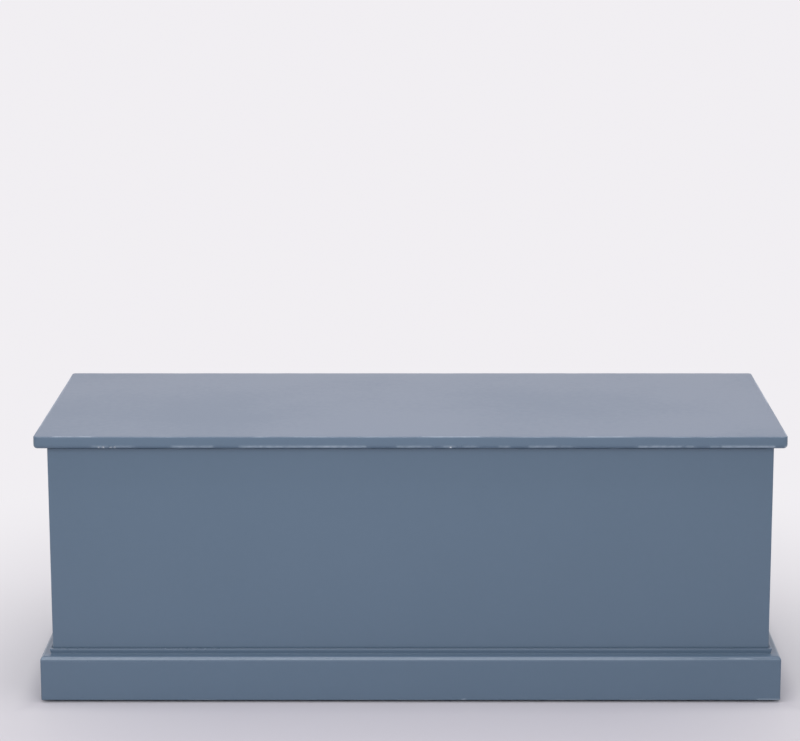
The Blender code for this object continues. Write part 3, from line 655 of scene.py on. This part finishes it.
def fine_board(name, node, body, material, roundings, steps, extra=((), (), ()), wear=None):
    """A board in a CAD node's place, with rounded edges and a grid fine enough for its unevenness.

    Each rounding is a test of an edge and a radius, and they are made in their order. Steps and extra give
    the spacing of its cuts and more places for them, along each axis.
    """
    low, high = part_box(node)
    shape = box_shape(low, high)
    for wanted, radius in roundings:
        round_edges(shape, [edge for edge in shape.edges if wanted(edge)], radius, SOFT_SEGMENTS)
    round_edges(shape, [edge for edge in shape.edges if is_corner(edge)], CRISP_RADIUS, CRISP_SEGMENTS)
    largest = max(radius for wanted, radius in roundings)
    for axis in range(3):
        places = grid_places(low[axis], high[axis], largest + SUPPORT, steps[axis], extra[axis])
        cut_across(shape, axis, places)
    layer = measure_edges(shape, low, high)
    chip = shape.verts.layers.float.new("chip")
    rub_and_highlight = shape.verts.layers.float.new("rub_and_highlight")
    sand_board(shape, low, high, layer, largest)
    if wear:
        wear(shape, low, high, rub_and_highlight, chip)
    finished_object(name, shape, material, body, [node])


def add_lid(paint):
    low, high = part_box("lid_panel")
    chip_places = [
        middle + half * cut / CHIP_CUTS for middle, half in CHIPS for cut in range(-CHIP_CUTS, CHIP_CUTS + 1)
    ]
    insets = [reach * LID_TOP_RADIUS for reach in TOP_RUB_AND_HIGHLIGHT_CUTS]
    front_places = [low.y + inset for inset in insets]
    end_places = [low.x + inset for inset in insets] + [high.x - inset for inset in insets]
    roundings = (
        (is_upright, LID_CORNER_RADIUS),
        (beside(DOWN), LID_UNDER_RADIUS),
        (beside(UP), LID_TOP_RADIUS),
    )
    extra = (chip_places + end_places, front_places, ())
    fine_board("painted_lid", "lid_panel", "lid", paint, roundings, LID_STEPS, extra, wear_lid_edges)


def add_panels(paint_x, paint_y):
    for side, outward in (("front", FRONT), ("back", BACK)):
        roundings = ((beside(outward, UP), PANEL_RADIUS),)
        fine_board(f"painted_{side}", f"{side}_panel", "carcass", paint_x, roundings, LONG_PANEL_STEPS)
    for hand in ("left", "right"):
        roundings = ((beside(UP), PANEL_RADIUS),)
        node = f"{hand}_side_panel"
        fine_board(f"painted_{hand}_side", node, "carcass", paint_y, roundings, SIDE_PANEL_STEPS)
        roundings = ((beside(DOWN), BATTEN_RADIUS),)
        fine_board(f"painted_{hand}_batten", f"{hand}_batten", "lid", paint_y, roundings, BATTEN_STEPS)


# Plinth

def arc(centre, radius, start_degrees, end_degrees, steps):
    points = []
    for step in range(steps + 1):
        angle = math.radians(start_degrees + (end_degrees - start_degrees) * step / steps)
        points.append((centre[0] + radius * math.cos(angle), centre[1] + radius * math.sin(angle)))
    return points


def plinth_section(thickness, bottom, top):
    """The moulding's outline, from the panel outwards and up: foot, flat, nose, ledge, leaning face, lip."""
    ledge = top - UPSTAND
    flat_bottom = bottom + FOOT_RADIUS
    flat_top = ledge - NOSE_RADIUS
    return (
        [(PAINTED_JOINT, bottom), (thickness / 2, bottom), (thickness - FOOT_RADIUS - SUPPORT, bottom)]
        + arc((thickness - FOOT_RADIUS, flat_bottom), FOOT_RADIUS, -90, 0, EASE_STEPS)
        + [(thickness, flat_bottom + (flat_top - flat_bottom) * share) for share in FLAT_SHARES]
        + arc((thickness - NOSE_RADIUS, flat_top), NOSE_RADIUS, 0, 90, NOSE_STEPS)
        + arc((UPSTAND_FOOT_DEPTH + COVE_RADIUS, ledge + COVE_RADIUS), COVE_RADIUS, 270, 180, EASE_STEPS)
        + [((UPSTAND_FOOT_DEPTH + LIP_DEPTH) / 2, top - UPSTAND / 2)]
        + arc((LIP_DEPTH - LIP_RADIUS, top - LIP_RADIUS), LIP_RADIUS, 0, 90, EASE_STEPS)
        + [(PAINTED_JOINT, top), (PAINTED_JOINT, (bottom + top) / 2)]
    )


def stations(outward, length, mitres, count):
    """Places along a board at one distance from the panel, as (along, outward) pairs.

    A mitred end turns the first half of its rounded corner, up to the mitre's plane.
    """
    radius = min(MITRE_RADIUS, MITRE_RADIUS_SHARE * outward)
    centre_out = outward - radius
    reach = centre_out - MITRE_GAP
    turns = [math.pi / 4 * step / MITRE_STEPS for step in range(1, MITRE_STEPS + 1)]
    bends = [(reach + radius * math.sin(turn), centre_out + radius * math.cos(turn)) for turn in turns]
    first = -reach * mitres[0]
    last = length + reach * mitres[1]
    places = [(first + (last - first) * step / count, outward) for step in range(count + 1)]
    if mitres[0]:
        places = [(-shift, out) for shift, out in reversed(bends)] + places
    if mitres[1]:
        places = places + [(length + shift, out) for shift, out in bends]
    return places


def crown_distance(out, height, thickness, top):
    """Distance from the crown of the nose, where its painted highlight is brightest."""
    crown_out = thickness - NOSE_RADIUS * (1 - math.cos(NOSE_CROWN))
    crown_height = top - UPSTAND - NOSE_RADIUS * (1 - math.sin(NOSE_CROWN))
    return math.dist((out, height), (crown_out, crown_height))


def moulding_highlight(out, height, crown, top):
    """The painted highlight along a line of the moulding: strong on the crown of the nose and faint on the
    lip.
    """
    lip = math.dist((out, height), (LIP_DEPTH, top))
    nose_reach = [reach * NOSE_RADIUS for reach in NOSE_HIGHLIGHT_REACH]
    lip_reach = [reach * LIP_DEPTH for reach in LIP_HIGHLIGHT_REACH]
    return NOSE_HIGHLIGHT * fade(crown, *nose_reach) + LIP_HIGHLIGHT * fade(lip, *lip_reach)


def close_sweep(shape, columns):
    """Joins the lines of a swept section by faces, with a flat cap at each end."""
    for number, column in enumerate(columns):
        following = columns[(number + 1) % len(columns)]
        for step in range(len(column) - 1):
            shape.faces.new((column[step], following[step], following[step + 1], column[step + 1]))
    caps = (
        shape.faces.new([column[0] for column in reversed(columns)]),
        shape.faces.new([column[-1] for column in columns]),
    )
    bmesh.ops.recalc_face_normals(shape, faces=shape.faces)
    for cap in caps:
        for edge in cap.edges:
            edge.smooth = False


def moulded_board(name, node, material, outward, start, end, mitres, foot_wear=(), highlight_end=None):
    """A plinth board: its section swept between two corners of the panels.

    Mitres holds 1 for a mitred end and 0 for a square one. The painted highlight on nose and lip fades out
    between the two places given for its end.
    """
    low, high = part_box(node)
    thickness = abs((high - low).dot(outward)) + CLEARANCE
    along_panel = (end - start).normalized()
    length = (end - start).length
    count = round(length / PLINTH_STEP)
    shape = bmesh.new()
    layer = shape.verts.layers.float.new("edge_distance")
    rub_and_highlight = shape.verts.layers.float.new("rub_and_highlight")
    columns = []
    for out, height in plinth_section(thickness, low.z, high.z):
        crown = crown_distance(out, height, thickness, high.z)
        foot = math.dist((out, height), (thickness, low.z))
        lightening = moulding_highlight(out, height, crown, high.z)
        column = []
        for along_board, bent_out in stations(out, length, mitres, count):
            place = start + outward * bent_out + along_panel * along_board
            vertex = shape.verts.new((place.x, place.y, height))
            start_gap = along_board + out if mitres[0] else length
            end_gap = length + out - along_board if mitres[1] else length
            # The nose's crown counts as an edge, so the patchy faded arrises also lighten it along its
            # highlight. The rub layer holds the painted highlight of nose and lip, fading out along the front
            # board, and the foot's wear
            vertex[layer] = min(crown, foot, start_gap, end_gap)
            foot_rub = along_spans(place.x, foot_wear) * fade(foot, FOOT_RADIUS, 2 * FOOT_RADIUS)
            kept = fade(place.x, *highlight_end) if highlight_end else 1
            vertex[rub_and_highlight] = lightening * kept + foot_rub
            column.append(vertex)
        columns.append(column)
    close_sweep(shape, columns)
    finished_object(name, shape, material, "carcass", [node])


def add_plinth(paint_x, paint_y):
    panel_low, panel_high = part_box("front_panel")
    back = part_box("back_panel")[1].y
    corners = {"left": Vector((panel_low.x, panel_low.y, 0)), "right": Vector((panel_high.x, panel_low.y, 0))}
    moulded_board(
        "moulded_front_plinth", "front_plinth", paint_x, Vector(FRONT), corners["left"], corners["right"],
        (1, 1), FOOT_WEAR, PLINTH_HIGHLIGHT_END,
    )
    for hand, side in (("left", -1), ("right", 1)):
        end = Vector((corners[hand].x, back, 0))
        name = f"moulded_{hand}_plinth"
        outward = Vector((side, 0, 0))
        moulded_board(name, f"{hand}_plinth", paint_y, outward, corners[hand], end, (1, 0))


# Batten screws

def visible_faces(head):
    """The flat faces of a screw head that look down."""
    return [face for face in head.faces if looks(face, DOWN)]


def cut_slot(head):
    """Cuts a slot along Y into the visible face of a screw head."""
    for side in (-1, 1):
        head.normal_update()
        caps = visible_faces(head)
        edges = {edge for face in caps for edge in face.edges}
        corners = {vertex for face in caps for vertex in face.verts}
        bmesh.ops.bisect_plane(
            head, geom=[*caps, *edges, *corners], dist=SCREW_MERGE,
            plane_co=(side * SCREW_SLOT / 2, 0, 0), plane_no=(1, 0, 0),
        )
    head.normal_update()
    slot = [face for face in visible_faces(head) if abs(face.calc_center_median().x) < SCREW_SLOT / 4]
    sunk = bmesh.ops.extrude_face_region(head, geom=slot)["geom"]
    moved = [item for item in sunk if isinstance(item, bmesh.types.BMVert)]
    bmesh.ops.translate(head, vec=(0, 0, SCREW_SLOT_DEPTH), verts=moved)
    bmesh.ops.delete(head, geom=slot, context="FACES_ONLY")


def add_slotted_head(shape, place, turn):
    """Adds a slotted screw head that looks down, with its wood's surface at the place."""
    head = bmesh.new()
    bmesh.ops.create_cone(
        head, cap_ends=True, segments=SCREW_SIDES, depth=SCREW_DEPTH,
        radius1=SCREW_RADIUS, radius2=SCREW_RADIUS,
    )
    cap = min(head.faces, key=lambda face: face.calc_center_median().z)
    bmesh.ops.inset_individual(head, faces=[cap], thickness=SCREW_RIM, depth=SCREW_RIM / 2)
    cut_slot(head)
    bmesh.ops.translate(head, vec=(0, 0, SCREW_DEPTH / 2 - SCREW_PROUD), verts=head.verts)
    bmesh.ops.rotate(head, matrix=Matrix.Rotation(turn, 3, "Z"), verts=head.verts)
    bmesh.ops.translate(head, vec=place, verts=head.verts)
    bmesh.ops.recalc_face_normals(head, faces=head.faces)
    mesh = bpy.data.meshes.new("screw_head")
    head.to_mesh(mesh)
    head.free()
    shape.from_mesh(mesh)
    bpy.data.meshes.remove(mesh)


def add_batten_screws(zinc):
    for hand in ("left", "right"):
        low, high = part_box(f"{hand}_batten")
        shape = bmesh.new()
        for number in range(BATTEN_SCREWS):
            share = (number + 0.5) / BATTEN_SCREWS
            place = Vector(((low.x + high.x) / 2, low.y + (high.y - low.y) * share, low.z))
            add_slotted_head(shape, place, SCREW_TURN * number)
        screws = finished_object(f"{hand}_batten_screws", shape, zinc, "lid")
        screws.data.shade_flat()


# Nodes carried over from the frame

def finish_node(name, material, edge_width):
    """Gives a CAD node its finish and, by modifiers alone, small rounded edges."""
    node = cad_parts[name]
    node.data.materials.clear()
    node.data.materials.append(material)
    node.data.shade_smooth()
    weld = node.modifiers.new("weld", "WELD")
    weld.merge_threshold = WELD_DISTANCE
    rounding = node.modifiers.new("rounding", "BEVEL")
    rounding.width = edge_width
    rounding.segments = EDGE_SEGMENTS
    rounding.limit_method = "ANGLE"
    rounding.angle_limit = EDGE_ANGLE
    shading = node.modifiers.new("shading", "WEIGHTED_NORMAL")
    shading.keep_sharp = False


def finish_carried_nodes(zinc):
    pine_x, pine_y, pine_z = [
        wood_material(f"pine_along_{letter}", axis, PINE_LIGHT, PINE_DARK, PINE_RINGS)
        for axis, letter in enumerate("xyz")
    ]
    plywood = wood_material("plywood_face", 0, PLY_LIGHT, PLY_DARK, PLY_RINGS)
    nylon = moulded_material("brown_nylon", NYLON_COLOUR, NYLON_DEEP, NYLON_ROUGHNESS)
    rubber = moulded_material("clear_rubber", RUBBER_COLOUR, RUBBER_DEEP, RUBBER_ROUGHNESS)
    finishes = (
        (("bottom_panel",), plywood, PLYWOOD_EDGE),
        (("front_cleat", "back_cleat"), pine_x, BOARD_EDGE),
        (("left_cleat", "right_cleat", "middle_bearer"), pine_y, BOARD_EDGE),
        (("_block",), pine_z, BOARD_EDGE),
        (("_glide",), nylon, MOULDED_EDGE),
        (("_bumper",), rubber, MOULDED_EDGE),
        (("_leaf",), zinc, LEAF_EDGE),
        (("_pin", "_arm", "_bracket", "_rivet", "_stud"), zinc, STEEL_EDGE),
        (("_screw_1", "_screw_2"), zinc, SCREW_EDGE),
    )
    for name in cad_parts:
        for endings, material, edge_width in finishes:
            if name.endswith(endings):
                finish_node(name, material, edge_width)


# Stage

def add_camera():
    data = bpy.data.cameras.new("camera")
    data.sensor_width = SENSOR_WIDTH
    data.lens = FOCAL_LENGTH * SENSOR_WIDTH / IMAGE_WIDTH
    data.shift_x = (IMAGE_WIDTH / 2 - OPTICAL_CENTRE[0]) / IMAGE_WIDTH
    data.shift_y = (OPTICAL_CENTRE[1] - IMAGE_HEIGHT / 2) / IMAGE_WIDTH
    camera = bpy.data.objects.new("camera", data)
    camera.location = CAMERA_PLACE
    camera.rotation_euler = (math.pi / 2 - CAMERA_PITCH, 0, 0)
    bpy.context.scene.collection.objects.link(camera)
    bpy.context.scene.camera = camera


def add_softbox(name, place, aim, size, brightness, colour=WHITE, mirrored=True):
    """An area lamp that faces a point. Its power follows from its size and the brightness of its surface."""
    width, height = size
    data = bpy.data.lights.new(name, "AREA")
    data.shape = "RECTANGLE"
    data.size = width
    data.size_y = height
    data.energy = LAMP_POWER * width * height * brightness
    data.color = colour
    lamp = bpy.data.objects.new(name, data)
    lamp.location = place
    lamp.rotation_euler = (Vector(aim) - Vector(place)).to_track_quat("-Z", "Y").to_euler()
    lamp.visible_camera = False
    lamp.visible_glossy = mirrored
    bpy.context.scene.collection.objects.link(lamp)


def add_lights():
    add_softbox("key", place=(-0.2, -2.0, 1.2), aim=FRONT_AIM, size=(2.6, 0.9), brightness=2.55)
    add_softbox(
        "overhead", place=(0, -0.45, 2.6), aim=FRONT_AIM, size=(2.4, 1.0), brightness=2.9, colour=WARM_WHITE
    )
    add_softbox("back_glow", place=(0, 2.8, 1.5), aim=BACK_AIM, size=(2.8, 1.2), brightness=0.09, colour=PINK)
    add_softbox(
        "back_fill", place=(0, 2.6, 1.8), aim=BACK_AIM, size=(2.4, 1.2), brightness=1.2, mirrored=False
    )
    for hand, side in (("left", -1), ("right", 1)):
        add_softbox(
            f"{hand}_fill", place=(2.6 * side, 0, 1.3), aim=MIDDLE_AIM, size=(1.8, 1.2), brightness=1.2,
            mirrored=False,
        )


def seen_directly(tree):
    """1 for rays from the camera and for reflected and transmitted ones."""
    path = tree.nodes.new("ShaderNodeLightPath")
    total = path.outputs["Is Camera Ray"]
    for name in ("Is Glossy Ray", "Is Transmission Ray"):
        node = tree.nodes.new("ShaderNodeMath")
        node.operation = "MAXIMUM"
        tree.links.new(total, node.inputs[0])
        tree.links.new(path.outputs[name], node.inputs[1])
        total = node.outputs[0]
    return total


def pale_world():
    """Even fill light, which the camera and reflections see as a pale backdrop."""
    world = bpy.data.worlds.new("studio")
    bpy.context.scene.world = world
    world.use_nodes = True
    tree = world.node_tree
    fill = tree.nodes["Background"]
    fill.inputs["Color"].default_value = (*FILL_COLOUR, 1)
    fill.inputs["Strength"].default_value = FILL_STRENGTH
    shown = tree.nodes.new("ShaderNodeBackground")
    shown.inputs["Color"].default_value = (*BACKDROP_COLOUR, 1)
    choice = tree.nodes.new("ShaderNodeMixShader")
    tree.links.new(seen_directly(tree), choice.inputs[0])
    tree.links.new(fill.outputs[0], choice.inputs[1])
    tree.links.new(shown.outputs[0], choice.inputs[2])
    tree.links.new(choice.outputs[0], tree.nodes["World Output"].inputs["Surface"])


def outside_footprint(shader):
    """How far a point of the floor lies outside the chest's footprint, below 0 under the chest."""
    place = shader.add("ShaderNodeSeparateXYZ")
    shader.set(place.inputs[0], shader.place)
    gaps = []
    for axis in range(2):
        from_middle = shader.math("ABSOLUTE", place.outputs[axis])
        gaps.append(shader.math("SUBTRACT", from_middle, CAD_HIGH[axis]))
    return shader.math("MAXIMUM", *gaps)


def floor_material():
    shader = Shader("floor")
    shader.finish(FLOOR_COLOUR, FLOOR_ROUGHNESS, shader.bump(shader.noise(FLOOR_SCALE), FLOOR_RELIEF))
    distance = shader.add("ShaderNodeVectorMath", operation="LENGTH")
    shader.set(distance.inputs[0], shader.stretched(FLOOR_PRESS, FLOOR_SHIFT))
    far_off = shader.ramp(distance.outputs["Value"], *FLOOR_FADE)
    clear_of_chest = shader.ramp(outside_footprint(shader), 0, FOOTPRINT_FADE)
    faded = shader.math("MULTIPLY", far_off, clear_of_chest)
    backdrop = shader.add("ShaderNodeEmission")
    shader.set(backdrop.inputs["Color"], BACKDROP_COLOUR)
    choice = shader.add("ShaderNodeMixShader")
    shader.set(choice.inputs[0], shader.math("MULTIPLY", faded, seen_directly(shader.tree)))
    shader.set(choice.inputs[1], shader.surface.outputs[0])
    shader.set(choice.inputs[2], backdrop.outputs[0])
    shader.set(shader.tree.nodes["Material Output"].inputs["Surface"], choice.outputs[0])
    return shader.material


def add_floor():
    """A plain pale floor that fades into the backdrop away from the chest."""
    shape = bmesh.new()
    bmesh.ops.create_circle(shape, cap_ends=True, segments=FLOOR_SIDES, radius=FLOOR_RADIUS)
    mesh = bpy.data.meshes.new("floor")
    shape.to_mesh(mesh)
    shape.free()
    mesh.materials.append(floor_material())
    floor = bpy.data.objects.new("floor", mesh)
    bpy.context.scene.collection.objects.link(floor)


# The scene

bpy.context.scene.view_settings.view_transform = "Standard"
add_camera()
add_lights()
pale_world()
add_floor()
painted_x = paint_material("satin_paint_along_x", 0)
painted_y = paint_material("satin_paint_along_y", 1)
add_lid(painted_x)
add_panels(painted_x, painted_y)
add_plinth(painted_x, painted_y)
zinc_plate = zinc_material()
add_batten_screws(zinc_plate)
finish_carried_nodes(zinc_plate)
